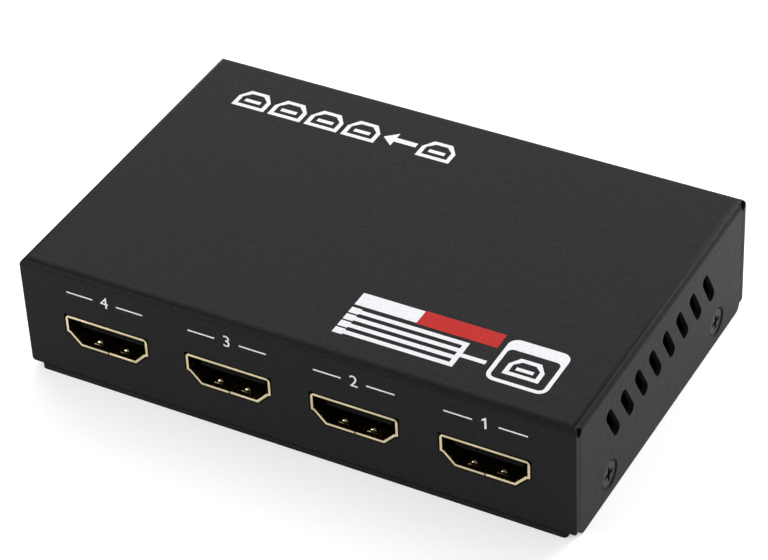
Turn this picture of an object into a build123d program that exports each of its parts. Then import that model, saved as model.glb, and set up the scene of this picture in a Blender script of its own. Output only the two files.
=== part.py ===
from build123d import *
import os
from math import cos, pi, radians, sin

# A video splitter, one input to four outputs, in a folded steel case. Millimetres, +Z up.
# The panel with the four output sockets faces -Y, and the origin is the middle of the
# underside, below the middle of the whole box.

# Case: a five-sided folded cover over a base plate whose two sides are turned up
case_width = 95.0
case_depth = 61.7
case_height = 21.4
sheet = 1.0
cover_bend_radius = 1.4
base_bend_radius = 1.0
inner_bend_radius = 0.3
seam_gap = 0.15
relief_radius = 0.75
relief_drop = 1.15
relief_reach = 1.6
panel_corner_radius = 0.5
flange_corner_radius = 1.5
lip_inset = 0.5
lip_corner_radius = 0.7
base_flange_height = 8.0
cut_overrun = 1.0

# Side vents: a row of slanted slots in each side, their tops towards the front
vent_count = 8
vent_pitch = 5.0
vent_width = 2.1
vent_height = 7.5
vent_slant = 30
vent_end_sides = 5
vent_row_y = -0.9
vent_drop = 8.0

# Case screws: two countersunk M2.5 screws in each side, with nuts welded inside the base
case_screw_inset = 10.975
case_screw_row_y = 0.5
case_screw_z = 4.0
case_screw_length = 5.0
screw_radius = 1.25
head_radius = 2.2
head_height = 1.0
head_sink = 0.2
head_gap = 0.2
thread_gap = 0.05
nut_height = 1.1
nut_flats = 5.0
cross_width = 0.65
cross_span = 2.6
cross_depth = 0.8

# Circuit board, on four standoffs pressed into the base between the sockets
board_thickness = 1.6
board_gap = 0.2
board_end_gap = 0.6
board_hole_radius = 1.4
board_hole_gap = 0.25
standoff_flats = 5.0
press_gap = 0.02
thread_end_gap = 1.3
bore_end_gap = 0.5
board_head_flats = 5.0
board_head_height = 1.9

# Sockets: a folded shell round a moulded tongue that carries two rows of contacts
output_count = 4
port_edge = 14.875
back_recess = 0.2
shell_width = 14.8
shell_height = 5.4
shell_wall = 0.4
shell_length = 12.0
shell_side = 3.25
shell_shoulder = 0.5
shell_shoulder_drop = 0.15
shell_foot = 10.0
shell_top_radius = 0.75
shell_seam = 0.22
shell_panel_gap = 0.25
bump_x = 2.43
bump_depth = 1.9
bump_size = 0.9
bump_rise = 0.3
bump_bevel = 0.25
spring_width = 1.7
spring_length = 5.0
spring_slit = 0.2
spring_start = 1.0
leg_thickness = 0.4
leg_width = 1.2
leg_length = 2.6
leg_front = 3.5
leg_rear = 9.6
leg_slot_gap = 0.2
tongue_width = 11.2
tongue_thickness = 1.15
tongue_rise = 0.25
tongue_setback = 1.4
tongue_chamfer = 0.3
tongue_root = 8.0
insulator_gap = 0.05
insulator_end = 11.3
contact_pitch = 1.0
contact_width = 0.4
contact_thickness = 0.15
contact_setback = 0.5
contact_length = 8.6
upper_contact_count = 10
lower_contact_count = 9

# Supply jack on the back
jack_headroom = 2.1
jack_width = 9.0
jack_height = 11.0
jack_length = 14.0
jack_axis_height = 6.5
jack_collar_length = 3.4
jack_bore_radius = 3.15
jack_bore_depth = 9.6
jack_pin_radius = 1.0
jack_pin_setback = 1.0
jack_shank_size = 1.4
jack_panel_radius = 4.0
jack_tail_thickness = 0.4
jack_tail_width = 2.2
jack_tail_length = 2.6
jack_tail_gap = 0.15
jack_spring_width = 2.0
jack_spring_rise = 0.35
jack_spring_start = 1.6

# Status lamps on the back: one for power and one for each output
lamp_pitch = 5.0
lamp_width = 2.0
lamp_height = 4.8
lamp_length = 6.6
lamp_bevel = 0.2
lamp_panel_gap = 0.2
lamp_lead_size = 0.45
lamp_lead_spacing = 2.54
lamp_lead_run = 1.8
lamp_lead_below = 1.0
lamp_lead_gap = 0.15

# Splitter chip in the middle of the board, with leads on four sides and a finned sink
part_gap = 1.0
row_gap = 0.3
chip_size = 7.0
chip_thickness = 1.4
chip_standoff = 0.1
chip_bevel = 0.25
chip_lead_count = 6
chip_lead_pitch = 1.0
chip_lead_width = 0.35
chip_lead_thickness = 0.15
chip_lead_reach = 1.0
sink_size = 14.0
sink_base = 1.5
sink_height = 6.0
sink_fin_count = 7
sink_fin_thickness = 0.8

# Small chips: the controller and the identity memory, and a leadless guard for each socket
small_chip_width = 3.9
small_chip_height = 1.45
small_chip_end = 0.55
small_chip_lead_pitch = 1.27
small_chip_lead_width = 0.42
small_chip_lead_reach = 1.0
small_chip_lead_thickness = 0.2
controller_lead_count = 8
memory_lead_count = 4
guard_length = 4.8
guard_width = 2.4
guard_height = 0.8
guard_gap = 1.6

# Supply parts between the jack and the chip, in three columns of two
column_count = 2
regulator_length = 4.5
regulator_width = 2.5
regulator_height = 1.5
regulator_pitch = 5.5
regulator_tab_width = 1.7
regulator_tab_reach = 0.85
regulator_tab_thickness = 0.25
regulator_lead_width = 0.45
regulator_lead_pitch = 1.5
inductor_size = 4.8
inductor_height = 3.0
inductor_bevel = 0.9
inductor_pitch = 5.6
tantalum_length = 6.0
tantalum_width = 3.2
tantalum_height = 2.6
tantalum_bevel = 0.3
tantalum_pitch = 6.3
crystal_length = 5.0
crystal_width = 3.2
crystal_height = 1.2
crystal_lid_inset = 0.3
crystal_base_height = 0.7

# Chip capacitors and resistors in rows behind the front sockets
passive_length = 1.6
passive_width = 0.8
capacitor_height = 0.8
resistor_height = 0.45
passive_count = 3
passive_pitch = 2.4

# Levels and edges that several pieces share
half_width = case_width / 2
half_depth = case_depth / 2
flange_bottom = sheet + seam_gap
base_half_width = half_width - sheet - seam_gap
base_half_depth = half_depth - sheet - seam_gap
board_half_width = half_width - head_sink - case_screw_length - board_gap
board_half_depth = half_depth - sheet - board_end_gap
board_top = case_height - sheet - jack_headroom - jack_height
board_bottom = board_top - board_thickness
port_z = board_top + shell_height / 2
jack_z = board_top + jack_axis_height
vent_row_z = case_height - vent_drop
back_mouth = half_depth - sheet - back_recess
port_pitch = (case_width - 2 * port_edge) / (output_count - 1)
port_places = [step * port_pitch + port_edge - half_width for step in range(output_count)]
input_x, jack_x = port_places[2:]
lamp_row_x = -port_pitch
lamp_count = output_count + 1
lamp_drop_y = back_mouth - lamp_length - lamp_lead_run
case_screw_reach = half_depth - case_screw_inset
case_screw_ys = [case_screw_row_y + side * case_screw_reach for side in (-1, 1)]

# Rows on the board, counted back from the sockets, and columns, counted out from the sink
front_rear = shell_length - half_depth
back_rear = back_mouth - shell_length
head_reach = board_head_flats / 2 / cos(radians(30))
board_hole_x = port_pitch
board_hole_ys = [front_rear + board_hole_gap + head_reach, back_rear - board_hole_gap - head_reach]
board_holes = [(side * board_hole_x, y) for side in (-1, 1) for y in board_hole_ys]
guard_row_y = front_rear + guard_gap + guard_width / 2
capacitor_row_y = guard_row_y + guard_width / 2 + row_gap + passive_length / 2
resistor_row_y = capacitor_row_y + row_gap + passive_length
rows_end = resistor_row_y + passive_length / 2
sink_y = (front_rear + back_rear) / 2
supply_y = (rows_end + back_rear) / 2
logic_y = (rows_end + board_hole_ys[1] - head_reach) / 2
tantalum_x = sink_size / 2 + part_gap + tantalum_length / 2
regulator_x = tantalum_x + (tantalum_length + regulator_length) / 2 + row_gap
inductor_x = board_hole_x + head_reach + row_gap + inductor_size / 2


def block(x_span, y_span, z_span):
    """A box between two places along each axis."""
    spans = (x_span, y_span, z_span)
    sizes = [high - low for low, high in spans]
    middle = [(high + low) / 2 for low, high in spans]
    return Pos(*middle) * Box(*sizes)


def around(middle, size):
    return middle - size / 2, middle + size / 2


def prism(face, start, end):
    """A face drawn in X and Z, run from y = start to y = end."""
    return Pos(0, end, 0) * extrude(Plane.XZ * face, amount=end - start)


def joined(pieces):
    """Separate pieces as one group, each still a solid of its own."""
    return Compound(children=[solid for piece in pieces for solid in piece.solids()])


def facing_front(piece, x, y, z):
    """Place a piece whose mouth is at y = 0 and opens towards -Y."""
    return Pos(x, y, z) * piece


def facing_back(piece, x, y, z):
    """The same piece turned round, so that its mouth opens towards +Y."""
    return Pos(x, y, z) * Rot(0, 0, 180) * piece


def folded_block(width, depth, height, radius):
    """A block up from z = 0 whose four upper edges are rounded and meet in mitres."""

    def profile(span):
        face = Pos(0, height / 2) * Rectangle(span, height)
        return fillet(face.vertices().group_by(Axis.Y)[-1], radius)

    across = extrude(Plane.YZ * profile(depth), amount=width / 2, both=True)
    along = extrude(Plane.XZ * profile(width), amount=depth / 2, both=True)
    return across & along


def port_outline(margin=0):
    """Corners of a socket's outline, wide above and drawn in below, with a margin outside."""
    top = shell_height / 2
    half = shell_width / 2
    points = [
        (half, top),
        (half, top - shell_side),
        (half - shell_shoulder, top - shell_side - shell_shoulder_drop),
        (shell_foot / 2, -top),
    ]
    mirrored = [(-x, z) for x, z in reversed(points)]
    face = make_face(Polyline(*points, *mirrored, close=True))
    if margin:
        face = offset(face, amount=margin, kind=Kind.INTERSECTION)
    return face


def cross_cutter(width, span, depth):
    """A cross recess to cut down from z = 0."""
    level = (-depth, cut_overrun)
    return block(around(0, span), around(0, width), level) + block(
        around(0, width), around(0, span), level
    )


def cover_walls():
    inside_height = case_height - sheet
    shell = folded_block(case_width, case_depth, case_height, cover_bend_radius)
    inside = folded_block(
        case_width - 2 * sheet,
        case_depth - 2 * sheet,
        inside_height + cut_overrun,
        inner_bend_radius,
    )
    return shell - Pos(0, 0, -cut_overrun) * inside


def cover_seams():
    """Cuts that part the side flanges from the front and back ones, with their reliefs.

    The front flange is cut short, because the base plate's lip lies under it.
    """
    cuts = []
    wide = (-half_width - cut_overrun, half_width + cut_overrun)
    relief_z = case_height - relief_drop
    for side in (-1, 1):
        outer = side * (half_depth + cut_overrun)
        seam = side * (half_depth - sheet)
        slit = side * (half_depth - sheet - seam_gap)
        if side < 0:
            cuts.append(block(wide, (outer, slit), (-cut_overrun, flange_bottom)))
        for end in (-1, 1):
            wall = sorted((end * (half_width - relief_reach), end * (half_width + cut_overrun)))
            cuts.append(block(wall, sorted((seam, slit)), (-cut_overrun, relief_z)))
            hole = Cylinder(relief_radius, wall[1] - wall[0], rotation=(0, 90, 0))
            cuts.append(Pos(sum(wall) / 2, seam, relief_z) * hole)
    return cuts


def vent_face():
    """A slot whose two ends are half rounds in short straight steps."""
    radius = vent_width / 2
    points = []
    for end in (1, -1):
        for step in range(vent_end_sides + 1):
            turn = pi * step / vent_end_sides
            along = vent_height / 2 - radius + radius * sin(turn)
            points.append((end * radius * cos(turn), end * along))
    return make_face(Polyline(*points, close=True))


def vent_cutters():
    """The row of slots, run right through both side walls, leaning towards the front."""
    slot = Plane.YZ * Rot(0, 0, vent_slant) * vent_face()
    cutter = extrude(slot, half_width + cut_overrun, both=True)
    first = vent_row_y - (vent_count - 1) / 2 * vent_pitch
    return [Pos(0, first + step * vent_pitch, vent_row_z) * cutter for step in range(vent_count)]


def countersinks():
    """Conical seats for the case screws, right through both side walls."""
    slope = (head_radius - screw_radius) / head_height
    mouth = head_radius + head_gap + head_sink * slope
    throat = mouth - sheet * slope
    cuts = []
    for side in (-1, 1):
        for y in case_screw_ys:
            seat = Cone(throat, mouth, sheet, rotation=(0, side * 90, 0))
            cuts.append(Pos(side * (half_width - sheet / 2), y, case_screw_z) * seat)
    return cuts


def panel_cuts():
    """Cut-outs for the sockets, the jack and the lamps in the front and back flanges."""
    port = prism(port_outline(shell_panel_gap), -sheet - cut_overrun, sheet + cut_overrun)
    round_hole = Cylinder(jack_panel_radius, sheet + 2 * cut_overrun, rotation=(90, 0, 0))
    middle = half_depth - sheet / 2
    cuts = [Pos(x, -half_depth, port_z) * port for x in port_places]
    cuts.append(Pos(input_x, half_depth, port_z) * port)
    cuts.append(Pos(jack_x, middle, jack_z) * round_hole)
    for x in lamp_places():
        wide = around(x, lamp_width + 2 * lamp_panel_gap)
        tall = around(port_z, lamp_height + 2 * lamp_panel_gap)
        cuts.append(block(wide, around(middle, sheet + 2 * cut_overrun), tall))
    return cuts


def lower_corners(cover, axis, low, high):
    """Edges along an axis at the lower outer corners of the flanges, between two places in Y."""
    edges = cover.edges().filter_by(axis)
    edges = [edge for edge in edges if edge.center().Z < flange_bottom + seam_gap]
    edges = [edge for edge in edges if abs(edge.center().X) > half_width - sheet]
    return [edge for edge in edges if low < edge.center().Y < high]


def top_cover():
    cover = cover_walls() - cover_seams()
    panel = half_depth - sheet
    cover = fillet(lower_corners(cover, Axis.Y, -half_depth, -panel), panel_corner_radius)
    cover = fillet(lower_corners(cover, Axis.Y, panel, half_depth), flange_corner_radius)
    cover = fillet(lower_corners(cover, Axis.X, -panel, panel), flange_corner_radius)
    return cover - vent_cutters() - countersinks() - panel_cuts()


def hexagon_post(flats, height):
    """A hexagonal bar up from z = 0, with two flats square to X."""
    return extrude(Rot(0, 0, 30) * RegularPolygon(flats / 2 / cos(radians(30)), 6), height)


def bottom_plate():
    """Base plate with a lip under the front panel and nuts on its turned-up sides."""

    def tray(half_span, height, radius):
        face = Pos(0, height / 2) * Rectangle(2 * half_span, height)
        return fillet(face.vertices().group_by(Axis.Y)[0], radius)

    outer = tray(base_half_width, base_flange_height, base_bend_radius)
    inner = tray(base_half_width - sheet, base_flange_height + cut_overrun, inner_bend_radius)
    plate = prism(outer - Pos(0, sheet) * inner, -base_half_depth, base_half_depth)
    lip_half_width = base_half_width - lip_inset
    lip_reach = (-half_depth, seam_gap - base_half_depth)
    lip = block((-lip_half_width, lip_half_width), lip_reach, (0, sheet))
    plate += fillet(lip.edges().filter_by(Axis.Z).group_by(Axis.Y)[0], lip_corner_radius)
    nut = hexagon_post(nut_flats, nut_height)
    hole = Cylinder(screw_radius + thread_gap, 2 * (sheet + nut_height + cut_overrun))
    for side in (-1, 1):
        for y in case_screw_ys:
            inner_face = Pos(side * (base_half_width - sheet), y, case_screw_z)
            plate = plate + inner_face * Rot(0, -side * 90, 0) * nut
            plate = plate - inner_face * Rot(0, -side * 90, 0) * hole
    press_hole = hexagon_post(standoff_flats + 2 * press_gap, 2 * sheet)
    return plate - [Pos(x, y, -sheet / 2) * press_hole for x, y in board_holes]


def case_screw():
    """A countersunk screw with its head's face at z = 0 and its thread downwards."""
    shank = case_screw_length - head_height
    screw = Pos(0, 0, -head_height / 2) * Cone(screw_radius, head_radius, head_height)
    screw += Pos(0, 0, -head_height - shank / 2) * Cylinder(screw_radius, shank)
    return screw - cross_cutter(cross_width, cross_span, cross_depth)


def case_screws():
    screw = case_screw()
    face = half_width - head_sink
    return joined(
        Pos(side * face, y, case_screw_z) * Rot(0, side * 90, 0) * screw
        for side in (-1, 1)
        for y in case_screw_ys
    )


def board_standoffs():
    """Hexagonal standoffs pressed into the base, flush with its underside, bored from above."""
    bore_top = board_bottom + cut_overrun
    bore_floor = sheet + thread_end_gap - bore_end_gap
    bore = Pos(0, 0, (bore_top + bore_floor) / 2) * Cylinder(
        screw_radius + thread_gap, bore_top - bore_floor
    )
    post = hexagon_post(standoff_flats, board_bottom) - bore
    return joined(Pos(x, y) * post for x, y in board_holes)


def board_screws():
    """Hexagon-head screws down through the board, clear of the bottom of their bores."""
    head = Pos(0, 0, board_top) * hexagon_post(board_head_flats, board_head_height)
    tip = sheet + thread_end_gap
    thread = Pos(0, 0, (board_top + tip) / 2) * Cylinder(screw_radius, board_top - tip)
    return joined(Pos(x, y) * (head + thread) for x, y in board_holes)


def circuit_board():
    board = block(
        (-board_half_width, board_half_width),
        (-board_half_depth, board_half_depth),
        (board_bottom, board_top),
    )
    through = (board_bottom - cut_overrun, board_top + cut_overrun)

    def slot(across, along, gap):
        spans = [(low - gap, high + gap) for low, high in (across, along)]
        return block(*spans, through)

    cuts = [
        Pos(x, y, board_top) * Cylinder(board_hole_radius, 4 * board_thickness)
        for x, y in board_holes
    ]
    for place, x, y in sockets():
        cuts += [place(slot(*leg, leg_slot_gap), x, y, 0) for leg in leg_spans()]
    for tail in jack_tail_spans():
        cuts.append(facing_back(slot(*tail, jack_tail_gap), jack_x, back_mouth, 0))
    for x in lamp_places():
        pair = around(x, lamp_lead_spacing + lamp_lead_size)
        cuts.append(slot(pair, around(lamp_drop_y, lamp_lead_size), lamp_lead_gap))
    return board - cuts


def sockets():
    """How each socket is placed: the four outputs, then the input."""
    front = [(facing_front, x, -half_depth) for x in port_places]
    return front + [(facing_back, input_x, back_mouth)]


def leg_spans():
    """X and Y spans of a socket's four legs, from its mouth."""
    outer = shell_width / 2
    spans = []
    for side in (-1, 1):
        across = sorted((side * outer, side * (outer - leg_thickness)))
        for start in (leg_front, leg_rear):
            spans.append((across, (start, start + leg_width)))
    return spans


def socket_shell():
    """Folded shell with a seam below, two springs with bumps and four legs."""
    outside = port_outline()
    outside = fillet(outside.vertices().group_by(Axis.Y)[-1], shell_top_radius)
    wall = prism(outside, 0, shell_length)
    wall -= prism(port_outline(-shell_wall), -cut_overrun, shell_length - shell_wall)
    top = shell_height / 2
    for across, along in leg_spans():
        wall += block(across, along, (-top - leg_length, top - shell_side))
    floor = (-top - cut_overrun, shell_wall * 1.5 - top)
    wall -= block(around(0, shell_seam), (-cut_overrun, shell_length + cut_overrun), floor)
    for side in (-1, 1):
        x = side * bump_x
        slit = block(
            around(x, spring_width + 2 * spring_slit),
            (spring_start - spring_slit, spring_start + spring_length),
            floor,
        )
        spring = block(
            around(x, spring_width),
            (spring_start, spring_start + spring_length + cut_overrun),
            floor,
        )
        wall -= slit - spring
        wall += Pos(x, bump_depth, shell_wall - top) * bump()
    return wall


def bump():
    """A small pressed bump up from z = 0, bevelled all round, rooted below its floor."""
    body = block(around(0, bump_size), around(0, bump_size), (-shell_wall / 2, bump_rise))
    return chamfer(body.edges().group_by(Axis.Z)[-1], bump_bevel)


def tongue_span():
    """Lower and upper level of a socket's tongue, from the shell's middle."""
    return around(tongue_rise, tongue_thickness)


def contact(ledge):
    """A flat contact on the tongue that runs back into the block, its lower face on a ledge."""
    start = tongue_setback + contact_setback
    along = (start, start + contact_length)
    return block(around(0, contact_width), along, (ledge, ledge + contact_thickness))


def contact_rows():
    """Lower face and count of each row of contacts: above the tongue, then below it."""
    low, high = tongue_span()
    return [(high, upper_contact_count), (low - contact_thickness, lower_contact_count)]


def socket_contacts():
    """Two rows of contacts, half a pitch apart."""
    contacts = []
    for ledge, count in contact_rows():
        first = (1 - count) / 2 * contact_pitch
        contacts += [Pos(first + step * contact_pitch) * contact(ledge) for step in range(count)]
    return contacts


def socket_insulator():
    """Moulded block behind a bevelled tongue, with a slit in it for each row of contacts."""
    low, high = tongue_span()
    body = prism(port_outline(-shell_wall - insulator_gap), tongue_root, insulator_end)
    half = tongue_width / 2
    tongue = block((-half, half), (tongue_setback, tongue_root), (low, high))
    tip = tongue.edges().filter_by(Axis.X).group_by(Axis.Y)[0]
    body += chamfer(tip, tongue_chamfer)
    slit_end = tongue_setback + contact_setback + contact_length
    for ledge, count in contact_rows():
        wide = around(0, (count - 1) * contact_pitch + contact_width)
        body -= block(wide, (tongue_root - cut_overrun, slit_end), (ledge, ledge + contact_thickness))
    return body


def jack_tail_spans():
    """X and Y spans of the jack's three tails: spring, pin and side contact."""
    size = jack_tail_width
    back = jack_length - jack_tail_thickness
    middle = jack_length - jack_collar_length * 2
    side = jack_width / 2
    return [
        (around(0, size), (middle, middle + jack_tail_thickness)),
        (around(0, size), (back, jack_length)),
        ((side - 2 * jack_tail_thickness, side - jack_tail_thickness), around(middle + size, size)),
    ]


def jack_housing():
    """Moulded square jack, bored from the front."""
    half = jack_width / 2
    height = (-jack_axis_height, jack_height - jack_axis_height)
    body = block((-half, half), (0, jack_length), height)
    bore_length = jack_bore_depth + cut_overrun
    bore = Cylinder(jack_bore_radius, bore_length, rotation=(90, 0, 0))
    body -= Pos(0, (jack_bore_depth - cut_overrun) / 2, 0) * bore
    return body - [jack_pin(), jack_spring(), jack_switch()]


def jack_tail(index, top):
    across, along = jack_tail_spans()[index]
    return block(across, along, (-jack_axis_height - jack_tail_length, top))


def jack_pin():
    """Centre pin, held by a square shank in the back wall."""
    length = jack_bore_depth - jack_pin_setback
    pin = Cylinder(jack_pin_radius, length, rotation=(90, 0, 0))
    size = around(0, jack_shank_size)
    shank = block(size, (jack_bore_depth, jack_length), size)
    return Pos(0, jack_pin_setback + length / 2, 0) * pin + shank + jack_tail(1, jack_shank_size / 2)


def jack_spring():
    """Sleeve spring in the floor of the bore, bowed up, with a tail through the board."""
    ledge = -jack_bore_radius
    thick = jack_tail_thickness
    start = jack_spring_start
    end = jack_length - 2 * jack_collar_length
    middle = (start + end) / 2
    bow = [(start, ledge), (middle, ledge + jack_spring_rise), (end + thick, ledge)]
    under = [(y, z - thick) for y, z in reversed(bow)]
    face = make_face(Polyline(*bow, *under, close=True))
    strip = extrude(Plane.YZ * face, jack_spring_width / 2, both=True)
    return strip + jack_tail(0, ledge - thick / 2)


def jack_switch():
    """Side contact of the jack, a plain blade in its wall."""
    return jack_tail(2, -jack_bore_radius / 2)


def lamp_places():
    return [lamp_row_x + (step - (lamp_count - 1) / 2) * lamp_pitch for step in range(lamp_count)]


def status_leds():
    """Flat lamps whose bevelled faces stand just inside the back panel."""
    lamp = block(around(0, lamp_width), (0, lamp_length), around(0, lamp_height))
    lamp = chamfer(lamp.edges().group_by(Axis.Y)[0], lamp_bevel)
    return joined(facing_back(lamp, x, back_mouth, port_z) for x in lamp_places())


def status_led_leads():
    """Two bent leads behind each lamp, through the board."""
    back = back_mouth - lamp_length
    half = lamp_lead_size / 2
    bottom = board_bottom - lamp_lead_below
    points = [
        (back, port_z + half),
        (lamp_drop_y - half, port_z + half),
        (lamp_drop_y - half, bottom),
        (lamp_drop_y + half, bottom),
        (lamp_drop_y + half, port_z - half),
        (back, port_z - half),
    ]
    face = make_face(Polyline(*points, close=True))
    lead = extrude(Plane.YZ * face, half, both=True)
    spread = lamp_lead_spacing / 2
    return joined(Pos(x + side * spread, 0, 0) * lead for x in lamp_places() for side in (-1, 1))


def sloped_lead(reach, thickness, width, level):
    """A flat lead that leaves a body at y = 0 at a level and slopes down to z = 0."""
    points = [(0, level), (0, level + thickness), (reach, thickness), (reach, 0)]
    face = make_face(Polyline(*points, close=True))
    return extrude(Plane.YZ * face, width / 2, both=True)


def chip_body(length, width, height):
    """A moulded body clear of the board, bevelled above."""
    body = block(around(0, length), around(0, width), (chip_standoff, chip_standoff + height))
    return chamfer(body.edges().group_by(Axis.Z)[-1], chip_bevel)


def splitter_chip_body():
    return Pos(0, sink_y, board_top) * chip_body(chip_size, chip_size, chip_thickness)


def splitter_chip_leads():
    level = chip_standoff + chip_thickness / 2
    lead = sloped_lead(chip_lead_reach, chip_lead_thickness, chip_lead_width, level)
    first = (1 - chip_lead_count) / 2 * chip_lead_pitch
    side = [
        Pos(first + step * chip_lead_pitch, chip_size / 2, 0) * lead
        for step in range(chip_lead_count)
    ]
    chip = Pos(0, sink_y, board_top)
    return joined(chip * Rot(0, 0, 90 * turn) * lead for turn in range(4) for lead in side)


def heat_sink():
    """Finned block glued to the splitter chip."""
    half = sink_size / 2
    sink = block((-half, half), (-half, half), (0, sink_height))
    gap = (sink_size - sink_fin_count * sink_fin_thickness) / (sink_fin_count - 1)
    for step in range(sink_fin_count - 1):
        start = sink_fin_thickness - half + step * (gap + sink_fin_thickness)
        along = around(0, sink_size + cut_overrun)
        sink -= block((start, start + gap), along, (sink_base, sink_height + cut_overrun))
    return Pos(0, sink_y, board_top + chip_standoff + chip_thickness) * sink


def small_chip_length(count):
    return (count - 1) * small_chip_lead_pitch + 2 * small_chip_end


def crystal_x():
    return -sink_size / 2 - part_gap - crystal_length / 2


def small_chips():
    """Place and leads a side of the controller and the memory, left of the crystal."""
    controller_half = small_chip_length(controller_lead_count) / 2
    memory_half = small_chip_length(memory_lead_count) / 2
    controller_x = crystal_x() - crystal_length / 2 - part_gap - controller_half
    memory_x = controller_x - controller_half - part_gap - memory_half
    return [(controller_x, logic_y, controller_lead_count), (memory_x, logic_y, memory_lead_count)]


def small_chip_bodies():
    """Moulded bodies of the two small chips, and a flat guard chip behind each output."""
    guard_size = (around(0, guard_length), around(0, guard_width), (0, guard_height))
    bodies = [Pos(x, guard_row_y, board_top) * block(*guard_size) for x in port_places]
    for x, y, count in small_chips():
        body = chip_body(small_chip_length(count), small_chip_width, small_chip_height)
        bodies.append(Pos(x, y, board_top) * body)
    return joined(bodies)


def small_chip_leads():
    level = chip_standoff + small_chip_height / 2
    lead = sloped_lead(
        small_chip_lead_reach, small_chip_lead_thickness, small_chip_lead_width, level
    )
    leads = []
    for x, y, count in small_chips():
        for turn in (0, 180):
            chip = Pos(x, y, board_top) * Rot(0, 0, turn)
            for step in range(count):
                along = (step - (count - 1) / 2) * small_chip_lead_pitch
                leads.append(chip * Pos(along, small_chip_width / 2, 0) * lead)
    return joined(leads)


def column(x, pitch):
    """Places of the pieces in one column of the supply parts."""
    return [
        Pos(x, supply_y + (step - (column_count - 1) / 2) * pitch, board_top)
        for step in range(column_count)
    ]


def regulator_spots():
    return column(regulator_x, regulator_pitch)


def regulator_bodies():
    body = chip_body(regulator_length, regulator_width, regulator_height)
    return joined(spot * body for spot in regulator_spots())


def regulator_tabs():
    """The wide tab on one side of each regulator and the three leads on the other."""
    level = chip_standoff + regulator_height / 2
    tab, lead = [
        sloped_lead(regulator_tab_reach, regulator_tab_thickness, width, level)
        for width in (regulator_tab_width, regulator_lead_width)
    ]
    edge = regulator_width / 2
    pieces = []
    for spot in regulator_spots():
        pieces.append(spot * Pos(0, edge, 0) * tab)
        for step in (-1, 0, 1):
            pieces.append(spot * Rot(0, 0, 180) * Pos(step * regulator_lead_pitch, edge, 0) * lead)
    return joined(pieces)


def power_inductors():
    """Square chokes with bevelled corners."""
    size = around(0, inductor_size)
    body = block(size, size, (0, inductor_height))
    body = chamfer(body.edges().filter_by(Axis.Z), inductor_bevel)
    return joined(spot * body for spot in column(inductor_x, inductor_pitch))


def filter_capacitors():
    """Moulded tantalum blocks, bevelled above."""
    body = block(around(0, tantalum_length), around(0, tantalum_width), (0, tantalum_height))
    body = chamfer(body.edges().group_by(Axis.Z)[-1], tantalum_bevel)
    return joined(spot * body for spot in column(tantalum_x, tantalum_pitch))


def clock_crystal():
    """Metal lid on a flat ceramic base."""
    base = block(around(0, crystal_length), around(0, crystal_width), (0, crystal_base_height))
    lid = block(
        around(0, crystal_length - 2 * crystal_lid_inset),
        around(0, crystal_width - 2 * crystal_lid_inset),
        (0, crystal_height),
    )
    return Pos(crystal_x(), logic_y, board_top) * (base + lid)


def passive_row(row_y, height):
    body = block(around(0, passive_width), around(0, passive_length), (0, height))
    return joined(
        Pos(x + (step - (passive_count - 1) / 2) * passive_pitch, row_y, board_top) * body
        for x in port_places
        for step in range(passive_count)
    )


os.makedirs("parts", exist_ok=True)

nodes = {
    "top_cover": top_cover(),
    "bottom_plate": bottom_plate(),
    "case_screws": case_screws(),
    "circuit_board": circuit_board(),
    "board_standoffs": board_standoffs(),
    "board_screws": board_screws(),
    "dc_jack_housing": facing_back(jack_housing(), jack_x, back_mouth, jack_z),
    "dc_jack_pin": facing_back(jack_pin(), jack_x, back_mouth, jack_z),
    "dc_jack_spring": facing_back(jack_spring(), jack_x, back_mouth, jack_z),
    "dc_jack_switch": facing_back(jack_switch(), jack_x, back_mouth, jack_z),
    "status_leds": status_leds(),
    "status_led_leads": status_led_leads(),
    "splitter_chip_body": splitter_chip_body(),
    "splitter_chip_leads": splitter_chip_leads(),
    "heat_sink": heat_sink(),
    "small_chip_bodies": small_chip_bodies(),
    "small_chip_leads": small_chip_leads(),
    "regulator_bodies": regulator_bodies(),
    "regulator_tabs": regulator_tabs(),
    "power_inductors": power_inductors(),
    "filter_capacitors": filter_capacitors(),
    "clock_crystal": clock_crystal(),
    "chip_capacitors": passive_row(capacitor_row_y, capacitor_height),
    "chip_resistors": passive_row(resistor_row_y, resistor_height),
}

# The output on the +X side is number 1, so the sockets are named from right to left.
names = ["output_4", "output_3", "output_2", "output_1", "input"]
shell, insulator, contacts = socket_shell(), socket_insulator(), joined(socket_contacts())
for name, (place, x, y) in zip(names, sockets()):
    nodes[f"{name}_shell"] = place(shell, x, y, port_z)
    nodes[f"{name}_insulator"] = place(insulator, x, y, port_z)
    nodes[f"{name}_contacts"] = place(contacts, x, y, port_z)

for name, shape in nodes.items():
    export_step(shape, f"parts/{name}.step")
    print(name, len(shape.solids()), "solids", round(sum(s.volume for s in shape.solids()), 2))
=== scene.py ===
from math import cos, pi, radians, sin

import bpy
from mathutils import Matrix, Vector


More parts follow.
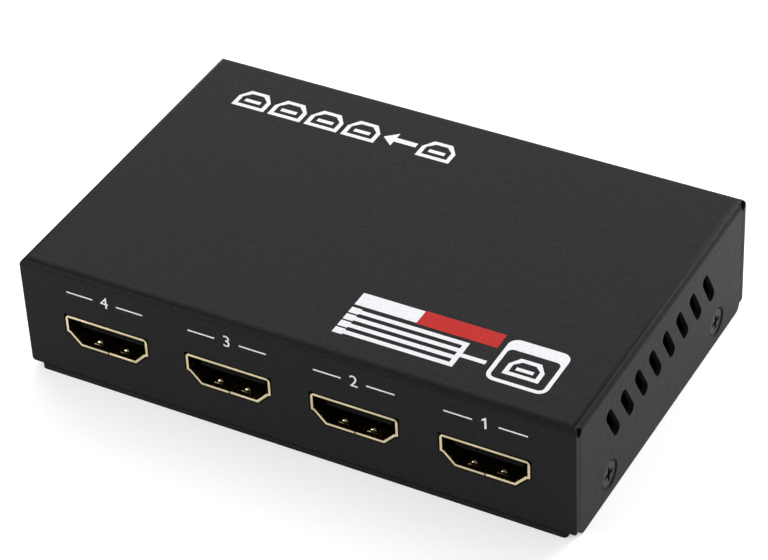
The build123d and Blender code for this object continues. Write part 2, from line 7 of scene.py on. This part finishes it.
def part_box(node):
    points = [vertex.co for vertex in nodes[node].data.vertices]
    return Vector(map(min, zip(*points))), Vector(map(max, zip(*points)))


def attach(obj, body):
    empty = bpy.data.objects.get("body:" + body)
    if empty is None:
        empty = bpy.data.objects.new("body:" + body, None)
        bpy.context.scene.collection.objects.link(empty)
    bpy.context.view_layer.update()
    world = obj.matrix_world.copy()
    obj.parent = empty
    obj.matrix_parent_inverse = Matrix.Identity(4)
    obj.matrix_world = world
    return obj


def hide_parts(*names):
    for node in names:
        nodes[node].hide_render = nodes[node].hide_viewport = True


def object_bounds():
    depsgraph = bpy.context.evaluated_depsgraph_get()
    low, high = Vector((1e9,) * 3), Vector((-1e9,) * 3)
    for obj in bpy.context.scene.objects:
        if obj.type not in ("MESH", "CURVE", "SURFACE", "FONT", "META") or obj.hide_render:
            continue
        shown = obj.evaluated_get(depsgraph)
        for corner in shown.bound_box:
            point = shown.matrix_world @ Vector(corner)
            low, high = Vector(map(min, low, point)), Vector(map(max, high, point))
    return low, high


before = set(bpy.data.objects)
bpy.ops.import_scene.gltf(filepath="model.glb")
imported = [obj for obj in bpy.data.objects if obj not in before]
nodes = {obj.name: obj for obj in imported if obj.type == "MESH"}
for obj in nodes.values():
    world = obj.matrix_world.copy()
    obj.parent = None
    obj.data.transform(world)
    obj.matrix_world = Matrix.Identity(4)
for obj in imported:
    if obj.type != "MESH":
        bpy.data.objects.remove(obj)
frame_bounds = [list(corner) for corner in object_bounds()]
mm = 0.001

# Base plate: one folded sheet of mild steel, powder-coated black with a fine rough texture.
# Its front and back edges show as a thin strip under the two panels.
base_tint = (0.014, 0.014, 0.0144)
# The lighter grain colour: partly the coat's own flecks, partly a painted highlight on the
# raised grains.
base_fleck_and_highlight = (0.021, 0.021, 0.0215)
base_edge = 0.08 * mm
coat_grain = 2600
coat_waves = coat_grain / 5
coat_roughness = 0.4
coat_gloss = 0.04
# Grain levels over which the lighter colour, partly a painted highlight on raised grains,
# fades in.
coat_fleck_highlight_levels = (0.42, 0.8)
coat_relief = (0.45, 0.08 * mm)
weld_within = 0.001 * mm
flat_within = radians(0.5)
smooth_below = radians(35)
ease_above = radians(40)
ease_steps = 2
level_weight = 100


def node_at(tree, kind, x, y, **sockets):
    """A shader node with its inputs set by name."""
    node = tree.nodes.new(kind)
    node.location = (x, y)
    for name, value in sockets.items():
        node.inputs[name.replace("_", " ")].default_value = value
    return node


def bare_material(name, roughness, metallic=0.0, specular=0.5):
    """A material with its shader and the object's own coordinates to hang a pattern on."""
    material = bpy.data.materials.new(name)
    material.use_nodes = True
    tree = material.node_tree
    shader = tree.nodes["Principled BSDF"]
    shader.inputs["Roughness"].default_value = roughness
    shader.inputs["Metallic"].default_value = metallic
    shader.inputs["Specular IOR Level"].default_value = specular
    coordinates = node_at(tree, "ShaderNodeTexCoord", -1300, 0)
    return material, tree, shader, coordinates.outputs["Object"]


def tint_by(tree, shader, factor, low, high, low_at, high_at):
    """Blend the shader's colour from one tint to another between two levels of a pattern."""
    ramp = node_at(tree, "ShaderNodeValToRGB", -500, 200)
    ramp.color_ramp.elements[0].position = low_at
    ramp.color_ramp.elements[0].color = (*low, 1)
    ramp.color_ramp.elements[1].position = high_at
    ramp.color_ramp.elements[1].color = (*high, 1)
    tree.links.new(factor, ramp.inputs["Fac"])
    tree.links.new(ramp.outputs["Color"], shader.inputs["Base Color"])


def raise_by(tree, shader, height, strength, distance):
    """Bump the surface by a pattern, at a strength and a depth."""
    bump = node_at(tree, "ShaderNodeBump", -250, -300, Strength=strength, Distance=distance)
    tree.links.new(height, bump.inputs["Height"])
    tree.links.new(bump.outputs["Normal"], shader.inputs["Normal"])


def noise_on(tree, coordinates, scale, detail, y=0):
    """A cloudy pattern of a size and fineness."""
    noise = node_at(tree, "ShaderNodeTexNoise", -900, y, Scale=scale, Detail=detail)
    tree.links.new(coordinates, noise.inputs["Vector"])
    return noise.outputs["Fac"]


def combined(tree, operation, first, second, x, y):
    """Two patterns made one: added, multiplied, or the stronger taken."""
    node = node_at(tree, "ShaderNodeMath", x, y)
    node.operation = operation
    tree.links.new(first, node.inputs[0])
    tree.links.new(second, node.inputs[1])
    return node.outputs["Value"]


def powder_coat(name, tint, fleck_and_highlight):
    """Baked powder: a fine pebbled skin whose raised grains are painted lighter, partly the
    coat's own flecks and partly a painted highlight.
    """
    coat = bare_material(name, coat_roughness, specular=coat_gloss)
    material, tree, shader, coordinates = coat
    grain = noise_on(tree, coordinates, coat_grain, detail=2.0, y=200)
    waves = noise_on(tree, coordinates, coat_waves, detail=1.0, y=-400)
    # Raised grains painted lighter: partly the coat's own flecks, partly a painted highlight.
    tint_by(tree, shader, grain, tint, fleck_and_highlight, *coat_fleck_highlight_levels)
    pebbles = combined(tree, "ADD", grain, waves, -600, -300)
    raise_by(tree, shader, pebbles, *coat_relief)
    return material


def dress(node, material):
    """Give a carried-over piece its finish."""
    slots = nodes[node].data.materials
    slots.clear()
    slots.append(material)


def deselect_all():
    """Leave nothing selected, so that the next step acts on one piece."""
    for thing in bpy.context.selected_objects:
        thing.select_set(False)


def eased_copy(node, name, material, edge):
    """The same piece with its sharp edges eased, as paint or plating leaves them."""
    deselect_all()
    mesh = nodes[node].data.copy()
    piece = bpy.data.objects.new(name, mesh)
    bpy.context.scene.collection.objects.link(piece)
    piece.select_set(True)
    bpy.context.view_layer.objects.active = piece
    bpy.ops.object.mode_set(mode="EDIT")
    bpy.ops.mesh.select_all(action="SELECT")
    bpy.ops.mesh.remove_doubles(threshold=weld_within)
    bpy.ops.mesh.dissolve_limited(angle_limit=flat_within)
    bpy.ops.object.mode_set(mode="OBJECT")
    bpy.ops.object.shade_smooth_by_angle(angle=smooth_below)
    ease = piece.modifiers.new("ease", "BEVEL")
    ease.width = edge
    ease.segments = ease_steps
    ease.limit_method = "ANGLE"
    ease.angle_limit = ease_above
    ease.use_clamp_overlap = True
    bpy.ops.object.modifier_apply(modifier=ease.name)
    level = piece.modifiers.new("level", "WEIGHTED_NORMAL")
    level.mode = "FACE_AREA"
    level.weight = level_weight
    bpy.ops.object.modifier_apply(modifier=level.name)
    mesh.materials.clear()
    mesh.materials.append(material)
    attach(piece, "root")
    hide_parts(node)
    return piece


base_coat = powder_coat("base_coat", base_tint, base_fleck_and_highlight)
eased_copy("bottom_plate", "base_sheet", base_coat, base_edge)

# Standoffs and screws that carry the circuit board: turned brass pressed into the base,
# and zinc-plated hexagon-head screws.
brass_tint = (0.56, 0.40, 0.16)
zinc_tint = (0.55, 0.56, 0.58)
turning_scale = 900
turning_shade = 0.82
turning_mottle = (0.35, 0.6)
turning_relief = (0.1, 0.02 * mm)


def turned_metal(name, tint, roughness, scale=turning_scale):
    """Bare metal with fine tool marks and slightly uneven polish."""
    material, tree, shader, coordinates = bare_material(name, roughness, metallic=1.0)
    marks = noise_on(tree, coordinates, scale, detail=4.0)
    dark = tuple(turning_shade * channel for channel in tint)
    tint_by(tree, shader, marks, dark, tint, *turning_mottle)
    raise_by(tree, shader, marks, *turning_relief)
    return material


dress("board_standoffs", turned_metal("turned_brass", brass_tint, roughness=0.3))
dress("board_screws", turned_metal("bright_zinc", zinc_tint, roughness=0.28))

# Circuit board: glass laminate under green solder mask, with faint copper runs beneath it.
# It lies on the standoffs and carries the sockets, the jack, the lamps and all the chips.
mask_dark = (0.004, 0.05, 0.02)
mask_light = (0.01, 0.11, 0.045)
mask_relief = (0.3, 0.03 * mm)
run_spacing = 420
run_width = 0.035
run_levels = {"Color1": 0.0, "Color2": 0.25, "Mortar": 1.0}


def solder_mask(name):
    """Green lacquer, lighter and raised where copper runs under it."""
    material, tree, shader, coordinates = bare_material(name, roughness=0.3)
    runs = node_at(tree, "ShaderNodeTexBrick", -900, 200, Scale=run_spacing,
                   Mortar_Size=run_width)
    for part, grey in run_levels.items():
        runs.inputs[part].default_value = (grey, grey, grey, 1)
    tree.links.new(coordinates, runs.inputs["Vector"])
    tint_by(tree, shader, runs.outputs["Color"], mask_dark, mask_light, 0.0, 1.0)
    raise_by(tree, shader, runs.outputs["Color"], *mask_relief)
    return material


dress("circuit_board", solder_mask("green_mask"))

# Parts soldered to the board: moulded black chips, tin-plated leads, a plain aluminium heat
# sink, ochre tantalum blocks, a crystal's plated lid, pressed ferrite and sintered chips.
epoxy_tint = (0.012, 0.012, 0.013)
tin_tint = (0.6, 0.61, 0.62)
aluminium_tint = (0.55, 0.56, 0.58)
ferrite_tint = (0.05, 0.05, 0.055)
ochre_tint = (0.34, 0.17, 0.025)
tan_ceramic = (0.32, 0.2, 0.11)
black_glaze = (0.01, 0.01, 0.012)
mould_grain = 1800
mould_pale = 1.5
mould_mottle = (0.4, 0.75)
mould_relief = (0.2, 0.02 * mm)


def moulded(name, tint, roughness, grain=mould_grain, specular=0.5):
    """Moulded or sintered stuff with a fine even grain and a slight mottle."""
    material, tree, shader, coordinates = bare_material(name, roughness, specular=specular)
    skin = noise_on(tree, coordinates, grain, detail=3.0)
    pale = tuple(mould_pale * channel for channel in tint)
    tint_by(tree, shader, skin, tint, pale, *mould_mottle)
    raise_by(tree, shader, skin, *mould_relief)
    return material


epoxy = moulded("black_epoxy", epoxy_tint, roughness=0.5)
tin = turned_metal("tin_plating", tin_tint, roughness=0.3)
aluminium = turned_metal("plain_aluminium", aluminium_tint, roughness=0.35)
for chip in ("splitter_chip_body", "small_chip_bodies", "regulator_bodies"):
    dress(chip, epoxy)
tinned = ("splitter_chip_leads", "small_chip_leads", "regulator_tabs", "status_led_leads")
for leads in tinned:
    dress(leads, tin)
dress("heat_sink", aluminium)
dress("filter_capacitors", moulded("ochre_epoxy", ochre_tint, roughness=0.42))
dress("clock_crystal", turned_metal("plated_lid", tin_tint, roughness=0.22))
dress("power_inductors", moulded("pressed_ferrite", ferrite_tint, roughness=0.6))
dress("chip_capacitors", moulded("tan_ceramic", tan_ceramic, roughness=0.45))
dress("chip_resistors", moulded("black_glaze", black_glaze, roughness=0.25))

# Video sockets: a shell folded from thin sheet and flashed with pale gold, round a black
# moulded tongue whose gilt contacts lie above and below it.
shell_tint = (0.72, 0.61, 0.38)
contact_tint = (0.85, 0.62, 0.26)
tongue_tint = (0.0025, 0.0025, 0.0025)
shell_edge = 0.05 * mm
socket_names = ["output_4", "output_3", "output_2", "output_1", "input"]

shell_gilt = turned_metal("pale_gilt", shell_tint, roughness=0.14, scale=400)
contact_gilt = turned_metal("contact_gilt", contact_tint, roughness=0.25, scale=1500)
tongue_plastic = moulded("tongue_plastic", tongue_tint, roughness=0.65, specular=0.06)
for socket in socket_names:
    eased_copy(f"{socket}_shell", f"{socket}_sleeve", shell_gilt, shell_edge)
    dress(f"{socket}_insulator", tongue_plastic)
    dress(f"{socket}_contacts", contact_gilt)

# Supply jack: a moulded black body with a nickel-plated centre pin, sleeve spring and side
# contact, soldered to the board behind a round hole in the back panel.
jack_tint = (0.012, 0.012, 0.012)
jack_edge = 0.15 * mm
nickel_tint = (0.62, 0.60, 0.56)

nickel = turned_metal("nickel_plating", nickel_tint, roughness=0.18)
jack_black = moulded("jack_plastic", jack_tint, roughness=0.4, grain=1200)
eased_copy("dc_jack_housing", "jack_body", jack_black, jack_edge)
for metal in ("dc_jack_pin", "dc_jack_spring", "dc_jack_switch"):
    dress(metal, nickel)

# Status lamps: five flat lamps cast in milky resin, with tinned legs soldered to the board.
# They stand close behind five windows in the back panel.
resin_tint = (0.52, 0.56, 0.54)
resin_pale = 1.2
resin_cloud = 700
resin_mottle = (0.35, 0.7)
resin_clear = 0.25
lamp_edge = 0.08 * mm


def cast_resin(name):
    """Milky resin, a little cloudy inside."""
    material, tree, shader, coordinates = bare_material(name, roughness=0.25)
    cloud = noise_on(tree, coordinates, resin_cloud, detail=2.0)
    pale = tuple(resin_pale * channel for channel in resin_tint)
    tint_by(tree, shader, cloud, resin_tint, pale, *resin_mottle)
    shader.inputs["Transmission Weight"].default_value = resin_clear
    return material


milky_resin = cast_resin("milky_resin")
eased_copy("status_leds", "status_lamps", milky_resin, lamp_edge)

# Cover: five sides folded from one steel sheet, with a round relief at each upper corner,
# slanted vents punched through the sides, and the same black powder coat.
cover_tint = (0.0148, 0.0146, 0.0158)
# The lighter grain colour: partly the coat's own flecks, partly a painted highlight on the
# raised grains.
cover_fleck_and_highlight = (0.022, 0.0217, 0.0234)
cover_edge = 0.12 * mm

cover_coat = powder_coat("cover_coat", cover_tint, cover_fleck_and_highlight)
eased_copy("top_cover", "cover_sheet", cover_coat, cover_edge)

# Case screws: countersunk steel screws with a cross recess, plated black, a little glossier
# than the paint round them.
screw_tint = (0.004, 0.004, 0.0042)
screw_gloss = 0.12
screw_edge = 0.05 * mm

screw_black = moulded(
    "black_plating", screw_tint, roughness=0.36, grain=2200, specular=screw_gloss)
eased_copy("case_screws", "cover_screws", screw_black, screw_edge)

# Marks over the output sockets: screen-printed white ink, a plain numeral between two fine
# rules, counted from the right.
ink_white = (0.86, 0.86, 0.87)
ink_gloss = 0.12
ink_thin = 0.88
ink_mottle = (0.28, 0.5)
ink_relief = (0.3, 0.03 * mm)
ink_height = 0.02 * mm
ink_join = 0.0001 * mm
mark_cap = 2.1 * mm
mark_span = 13.7 * mm
mark_drop = 3.9 * mm
mark_shift = 0.3 * mm
rule_length = 4.7 * mm
rule_width = 0.26 * mm
one_stroke = 0.34 * mm
one_flag = 0.6 * mm
flag_start = 0.034 * mm
flag_foot = 0.48 * mm
flag_rise = 0.45 * mm
flag_drop = 0.81 * mm
low_corner, high_corner = (Vector(corner) for corner in frame_bounds)


def ink(name, tint):
    """Screen ink, with faint pinholes where the rough coat shows through."""
    matt = bare_material(name, roughness=0.6, specular=ink_gloss)
    material, tree, shader, coordinates = matt
    pinholes = noise_on(tree, coordinates, coat_grain, detail=2.0)
    thin = tuple(ink_thin * channel for channel in tint)
    tint_by(tree, shader, pinholes, thin, tint, *ink_mottle)
    raise_by(tree, shader, pinholes, *ink_relief)
    return material


def flat_print(name, loops):
    """A thin closed sheet of ink from flat outlines, its back on z = 0."""
    curve = bpy.data.curves.new(name, "CURVE")
    curve.dimensions = "2D"
    curve.fill_mode = "BOTH"
    curve.extrude = ink_height / 2
    for loop in loops:
        spline = curve.splines.new("POLY")
        spline.points.add(len(loop) - 1)
        for point, (x, y) in zip(spline.points, loop):
            point.co = (x, y, 0, 1)
        spline.use_cyclic_u = True
    thing = bpy.data.objects.new(name, curve)
    bpy.context.scene.collection.objects.link(thing)
    return thing


def numeral_one(cap_height):
    """A 1 as a stem with a short flag, which the plain font leaves off."""
    half, stem = cap_height / 2, one_stroke / 2
    outline = [
        (stem, -half),
        (stem, half),
        (-flag_start, half),
        (-one_flag, half - flag_rise),
        (-one_flag, half - flag_drop),
        (-stem, half - flag_foot),
        (-stem, -half),
    ]
    return flat_print("numeral", [outline])


def numeral(text, cap_height):
    """A plain numeral, centred on its own width, at a real cap height."""
    deselect_all()
    bpy.ops.object.text_add()
    thing = bpy.context.object
    thing.data.body = text
    thing.data.align_x = "CENTER"
    thing.data.align_y = "CENTER"
    thing.data.extrude = ink_height / 2
    bpy.context.view_layer.update()
    thing.data.size = cap_height / thing.dimensions.y * thing.data.size
    return thing


def printed(things, name, place, material):
    """Join flat outlines into one print, made a mesh, laid on a surface and fixed there."""
    deselect_all()
    for thing in things:
        thing.select_set(True)
    bpy.context.view_layer.objects.active = things[0]
    bpy.ops.object.convert(target="MESH")
    bpy.ops.object.transform_apply(location=True, rotation=True, scale=True)
    if len(things) > 1:
        bpy.ops.object.join()
    piece = bpy.context.view_layer.objects.active
    piece.name = name
    piece.data.transform(place)
    bpy.ops.object.mode_set(mode="EDIT")
    bpy.ops.mesh.select_all(action="SELECT")
    bpy.ops.mesh.remove_doubles(threshold=ink_join)
    bpy.ops.mesh.normals_make_consistent(inside=False)
    bpy.ops.object.mode_set(mode="OBJECT")
    piece.data.materials.clear()
    piece.data.materials.append(material)
    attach(piece, "root")
    return piece


def bar(x, y, width, height):
    """Corners of an upright rectangle round a middle."""
    return [
        (x - width / 2, y - height / 2),
        (x + width / 2, y - height / 2),
        (x + width / 2, y + height / 2),
        (x - width / 2, y + height / 2),
    ]


white_ink = ink("white_ink", ink_white)
for number in (4, 3, 2, 1):
    shell_low, shell_high = (Vector(corner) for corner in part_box(f"output_{number}_shell"))
    rule_at = (mark_span - rule_length) / 2
    sides = [bar(side * rule_at, 0, rule_length, rule_width) for side in (-1, 1)]
    rules = flat_print("rules", sides)
    middle = Vector(
        (
            (shell_low.x + shell_high.x) / 2 + mark_shift,
            low_corner.y - ink_height / 2,
            high_corner.z - mark_drop,
        )
    )
    place = Matrix.Translation(middle) @ Matrix.Rotation(pi / 2, 4, "X")
    figure = numeral_one(mark_cap) if number == 1 else numeral(str(number), mark_cap)
    mark = [rules, figure]
    printed(mark, f"port_mark_{number}", place, white_ink)

# Print on the top: screen-printed in white and red ink, upright for someone behind the
# splitter. Near the front edge a badge with a socket, a line that branches in four, and two
# bars; near the back edge a socket, an arrow and four sockets.
ink_red = (0.5, 0.02, 0.016)
badge_middle = (35 * mm, -20.85 * mm)
badge_size = 10 * mm
badge_corner = 1.6 * mm
corner_steps = 8
badge_line = 0.7 * mm
badge_band = 2.4 * mm
badge_socket = (0.68, 0.6)
branch_middle = (17 * mm, -22.7 * mm)
branch_span = 24 * mm
branch_rise = 5.1 * mm
branch_line = 0.85 * mm
branch_cross = 7.5 * mm
branch_end = (1.7 * mm, 1.35 * mm)
branch_count = 4
red_bar_middle = (22.3 * mm, -17.3 * mm)
red_bar_size = (13.4 * mm, 3.3 * mm)
white_bar_middle = (10.25 * mm, -17.3 * mm)
white_bar_size = (10.5 * mm, 3.0 * mm)
row_middle = (-18.7 * mm, 21.35 * mm)
row_span = 40 * mm
row_height = 4.6 * mm
row_glyph = 6.0 * mm
glyph_line = 0.75 * mm
glyph_draw_in = 0.3
glyph_shoulder = 0.07
glyph_foot_lean = 0.25
glyph_shoulder_lean = 0.1
glyph_tongue = (0.48, 0.17)
glyph_tongue_up = 0.08
arrow_length = 6.0 * mm
arrow_line = 1.1 * mm
arrow_head = 2.09 * mm
arrow_wing = 1.76 * mm


def rounded_bar(x, y, width, height, radius):
    """Corners of a rectangle with rounded corners round a middle."""
    points = []
    for quarter, (side_x, side_y) in enumerate(((1, 1), (-1, 1), (-1, -1), (1, -1))):
        middle_x = x + side_x * (width / 2 - radius)
        middle_y = y + side_y * (height / 2 - radius)
        for step in range(corner_steps + 1):
            turn = (quarter + step / corner_steps) * pi / 2
            points.append((middle_x + radius * cos(turn), middle_y + radius * sin(turn)))
    return points


def socket_glyph(x, y, width, height):
    """A socket seen from its mouth: a line drawn in below, round a tongue."""
    loops = []
    for inset in (0, glyph_line):
        half, top = width / 2 - inset, height / 2 - inset
        foot = half - glyph_draw_in * height + glyph_foot_lean * inset
        shoulder = y - glyph_shoulder * height - glyph_shoulder_lean * inset
        loops.append(
            [
                (x - half, y + top),
                (x + half, y + top),
                (x + half, shoulder),
                (x + foot, y - top),
                (x - foot, y - top),
                (x - half, shoulder),
            ]
        )
    long, thick = glyph_tongue
    tongue = bar(x, y + glyph_tongue_up * height, long * width, thick * height)
    return loops + [tongue]


def branching_line(span, rise, width, end_length, end_height):
    """One line from the left that meets a cross line, and four lines on from there to pads."""
    half = width / 2
    first = rise / 2
    step = rise / (branch_count - 1)
    cross = -branch_cross
    pad = end_height / 2
    neck = span / 2 - end_length
    outline = [(cross - half, -first - half)]
    for branch in range(branch_count):
        level = branch * step - first
        outline += [(neck, level - half), (neck, level - pad), (span / 2, level - pad)]
        outline += [(span / 2, level + pad), (neck, level + pad), (neck, level + half)]
        if branch < branch_count - 1:
            outline += [(cross + half, level + half), (cross + half, level + step - half)]
    outline += [(cross - half, first + half), (cross - half, half), (-span / 2, half)]
    return outline + [(-span / 2, -half), (cross - half, -half)]


def arrow(x, y, length, width):
    """An arrow to the right round a middle."""
    neck = x + length / 2 - arrow_head
    return [
        (x - length / 2, y - width / 2),
        (neck, y - width / 2),
        (neck, y - arrow_wing),
        (x + length / 2, y),
        (neck, y + arrow_wing),
        (neck, y + width / 2),
        (x - length / 2, y + width / 2),
    ]


def on_top(x, y):
    """A place on the top, its reading direction turned towards the back."""
    surface = Vector((x, y, high_corner.z + ink_height / 2))
    return Matrix.Translation(surface) @ Matrix.Rotation(pi, 4, "Z")


window_height = badge_size - badge_line - badge_band
window_y = (badge_band - badge_line) / 2
window_width = badge_size - 2 * badge_line
across, tall = badge_socket
badge_loops = [
    rounded_bar(0, 0, badge_size, badge_size, badge_corner),
    rounded_bar(0, window_y, window_width, window_height, badge_corner - badge_line),
    *socket_glyph(0, window_y, across * window_width, tall * window_height),
]
branch_loops = [branching_line(branch_span, branch_rise, branch_line, *branch_end)]
first_glyph = (row_glyph - row_span) / 2
row_gap = (row_span - (branch_count + 1) * row_glyph - arrow_length) / (branch_count + 1)
row_loops = socket_glyph(first_glyph, 0, row_glyph, row_height)
arrow_x = first_glyph + row_glyph / 2 + row_gap + arrow_length / 2
row_loops.append(arrow(arrow_x, 0, arrow_length, arrow_line))
for step in range(branch_count):
    glyph_x = -first_glyph - step * (row_glyph + row_gap)
    row_loops += socket_glyph(glyph_x, 0, row_glyph, row_height)

red_ink = ink("red_ink", ink_red)
top_prints = [
    ("badge_print", badge_loops, badge_middle, white_ink),
    ("branch_print", branch_loops, branch_middle, white_ink),
    ("red_bar_print", [bar(0, 0, *red_bar_size)], red_bar_middle, red_ink),
    ("white_bar_print", [bar(0, 0, *white_bar_size)], white_bar_middle, white_ink),
    ("socket_row_print", row_loops, row_middle, white_ink),
]
for name, loops, middle, colour in top_prints:
    printed([flat_print(name, loops)], name, on_top(*middle), colour)

# Floor: a plain white matt sheet under the splitter, which keeps its soft shadow. It glows a
# little by itself, less near the splitter, which paints a faint shadow round it, and it is
# clear from below. Not part of the object.
floor_size = 3.0
floor_white = (0.8, 0.8, 0.8)
floor_roughness = 0.9
# The lower glow near the splitter is a painted shadow round it.
floor_glow_and_shadow = (0.5, 0.64)
painted_shadow_reach = (60 * mm, 140 * mm)
floor_gap = 0.05 * mm


def seen_directly(tree, rays):
    """1 for what is seen, also in metal and through resin, and 0 for light that falls."""
    total = rays.outputs["Is Camera Ray"]
    for kind, y in (("Is Glossy Ray", 0), ("Is Transmission Ray", -150)):
        total = combined(tree, "MAXIMUM", total, rays.outputs[kind], -650, y)
    return total


bpy.ops.mesh.primitive_plane_add(size=floor_size, location=(0, 0, -floor_gap))
floor = bpy.context.object
floor.name = "floor"
floor_material = bpy.data.materials.new("floor_white")
floor_material.use_nodes = True
tree = floor_material.node_tree
shader = tree.nodes["Principled BSDF"]
shader.inputs["Base Color"].default_value = (*floor_white, 1)
shader.inputs["Roughness"].default_value = floor_roughness
shader.inputs["Specular IOR Level"].default_value = 0.0
shader.inputs["Emission Color"].default_value = (1, 1, 1, 1)
rays = node_at(tree, "ShaderNodeLightPath", -700, -200)
where = node_at(tree, "ShaderNodeTexCoord", -1100, -450)
reach = node_at(tree, "ShaderNodeVectorMath", -900, -450)
reach.operation = "LENGTH"
tree.links.new(where.outputs["Object"], reach.inputs[0])
near, far = painted_shadow_reach
painted_shadow_glow, high_glow = floor_glow_and_shadow
# Less glow near the splitter than far off: a painted shadow on the floor round it.
glow = node_at(tree, "ShaderNodeMapRange", -700, -450, From_Min=near, From_Max=far,
               To_Min=painted_shadow_glow, To_Max=high_glow)
tree.links.new(reach.outputs["Value"], glow.inputs["Value"])
direct = seen_directly(tree, rays)
shine = combined(tree, "MULTIPLY", direct, glow.outputs["Result"], -450, -200)
tree.links.new(shine, shader.inputs["Emission Strength"])
side = node_at(tree, "ShaderNodeNewGeometry", 0, 300)
clear = node_at(tree, "ShaderNodeBsdfTransparent", 0, -500)
sheet = node_at(tree, "ShaderNodeMixShader", 250, 0)
tree.links.new(side.outputs["Backfacing"], sheet.inputs["Fac"])
tree.links.new(shader.outputs["BSDF"], sheet.inputs[1])
tree.links.new(clear.outputs["BSDF"], sheet.inputs[2])
tree.links.new(sheet.outputs["Shader"], tree.nodes["Material Output"].inputs["Surface"])
floor.data.materials.append(floor_material)

# Light: a white room with a dim stretch in front on the left, and four soft panels: behind
# on the right, behind and above, and two in front on the left. The camera sees plain white.
room_level = 0.62
dim_towards = (-0.35, -0.75, 0.55)
dim_level = 0.12
dim_reach = (0.45, 0.85)
panels = [
    ("panel_back", (0.18, 0.34, 0.16), 0.2, 1.4, (0.93, 0.89, 1.0)),
    ("panel_above", (-0.45, 0.8, 0.75), 1.2, 6.5, (1, 1, 1)),
    ("panel_left", (-0.55, -0.42, 0.2), 0.4, 2.2, (1, 1, 1)),
    ("panel_front", (-0.7, -0.8, 0.45), 0.5, 3.2, (1, 1, 1)),
]

world = bpy.data.worlds.new("room")
bpy.context.scene.world = world
world.use_nodes = True
tree = world.node_tree
tree.nodes.clear()
rays = node_at(tree, "ShaderNodeLightPath", -900, 0)
direction = node_at(tree, "ShaderNodeTexCoord", -1300, 300)
dim_spot = node_at(tree, "ShaderNodeVectorMath", -1050, 300)
dim_spot.operation = "DOT_PRODUCT"
dim_spot.inputs[1].default_value = Vector(dim_towards).normalized()
tree.links.new(direction.outputs["Generated"], dim_spot.inputs[0])
fade = node_at(tree, "ShaderNodeValToRGB", -800, 300)
for stop, position, grey in zip(fade.color_ramp.elements, dim_reach, (1, dim_level)):
    stop.position = position
    stop.color = (grey, grey, grey, 1)
tree.links.new(dim_spot.outputs["Value"], fade.inputs["Fac"])
level = node_at(tree, "ShaderNodeMath", -500, 0)
level.operation = "MAXIMUM"
level.inputs[1].default_value = room_level
tree.links.new(rays.outputs["Is Glossy Ray"], level.inputs[0])
lit = node_at(tree, "ShaderNodeBackground", -300, 100)
tree.links.new(fade.outputs["Color"], lit.inputs["Color"])
tree.links.new(level.outputs["Value"], lit.inputs["Strength"])
white = node_at(tree, "ShaderNodeBackground", -300, -100, Color=(1, 1, 1, 1), Strength=1.0)
mix = node_at(tree, "ShaderNodeMixShader", 0, 0)
output = node_at(tree, "ShaderNodeOutputWorld", 250, 0)
tree.links.new(rays.outputs["Is Camera Ray"], mix.inputs["Fac"])
tree.links.new(lit.outputs["Background"], mix.inputs[1])
tree.links.new(white.outputs["Background"], mix.inputs[2])
tree.links.new(mix.outputs["Shader"], output.inputs["Surface"])
for name, spot, size, power, tint in panels:
    light = bpy.data.lights.new(name, "AREA")
    light.color = tint
    light.shape = "SQUARE"
    light.size = size
    light.energy = power
    lamp = bpy.data.objects.new(name, light)
    lamp.location = spot
    lamp.rotation_euler = (-Vector(spot)).to_track_quat("-Z", "Y").to_euler()
    bpy.context.scene.collection.objects.link(lamp)

# Camera: a long lens from the front right and above, its top tilted a little to the left.
# Its place is measured from the foot of the panel with the four sockets.
camera_azimuth = radians(29.96)
camera_elevation = radians(37.99)
camera_roll = radians(2.94)
camera_distance = 467.35 * mm
camera_across = 13.64 * mm
camera_up = 25.88 * mm
lens_length = 143.78
film_width = 36.0

back = Vector(
    (
        sin(camera_azimuth) * cos(camera_elevation),
        -cos(camera_azimuth) * cos(camera_elevation),
        sin(camera_elevation),
    )
)
level_right = (-back).cross(Vector((0, 0, 1))).normalized()
level_up = level_right.cross(-back)
right = cos(camera_roll) * level_right - sin(camera_roll) * level_up
up = sin(camera_roll) * level_right + cos(camera_roll) * level_up
panel_foot = Vector((0, low_corner.y, 0))
spot = panel_foot + camera_across * right + camera_up * up + camera_distance * back
turn = Matrix((right, up, back)).transposed().to_4x4()
camera_data = bpy.data.cameras.new("camera")
camera_data.sensor_width = film_width
camera_data.lens = lens_length
camera = bpy.data.objects.new("camera", camera_data)
camera.matrix_world = Matrix.Translation(spot) @ turn
bpy.context.scene.collection.objects.link(camera)
bpy.context.scene.camera = camera
bpy.context.scene.view_settings.view_transform = "Standard"
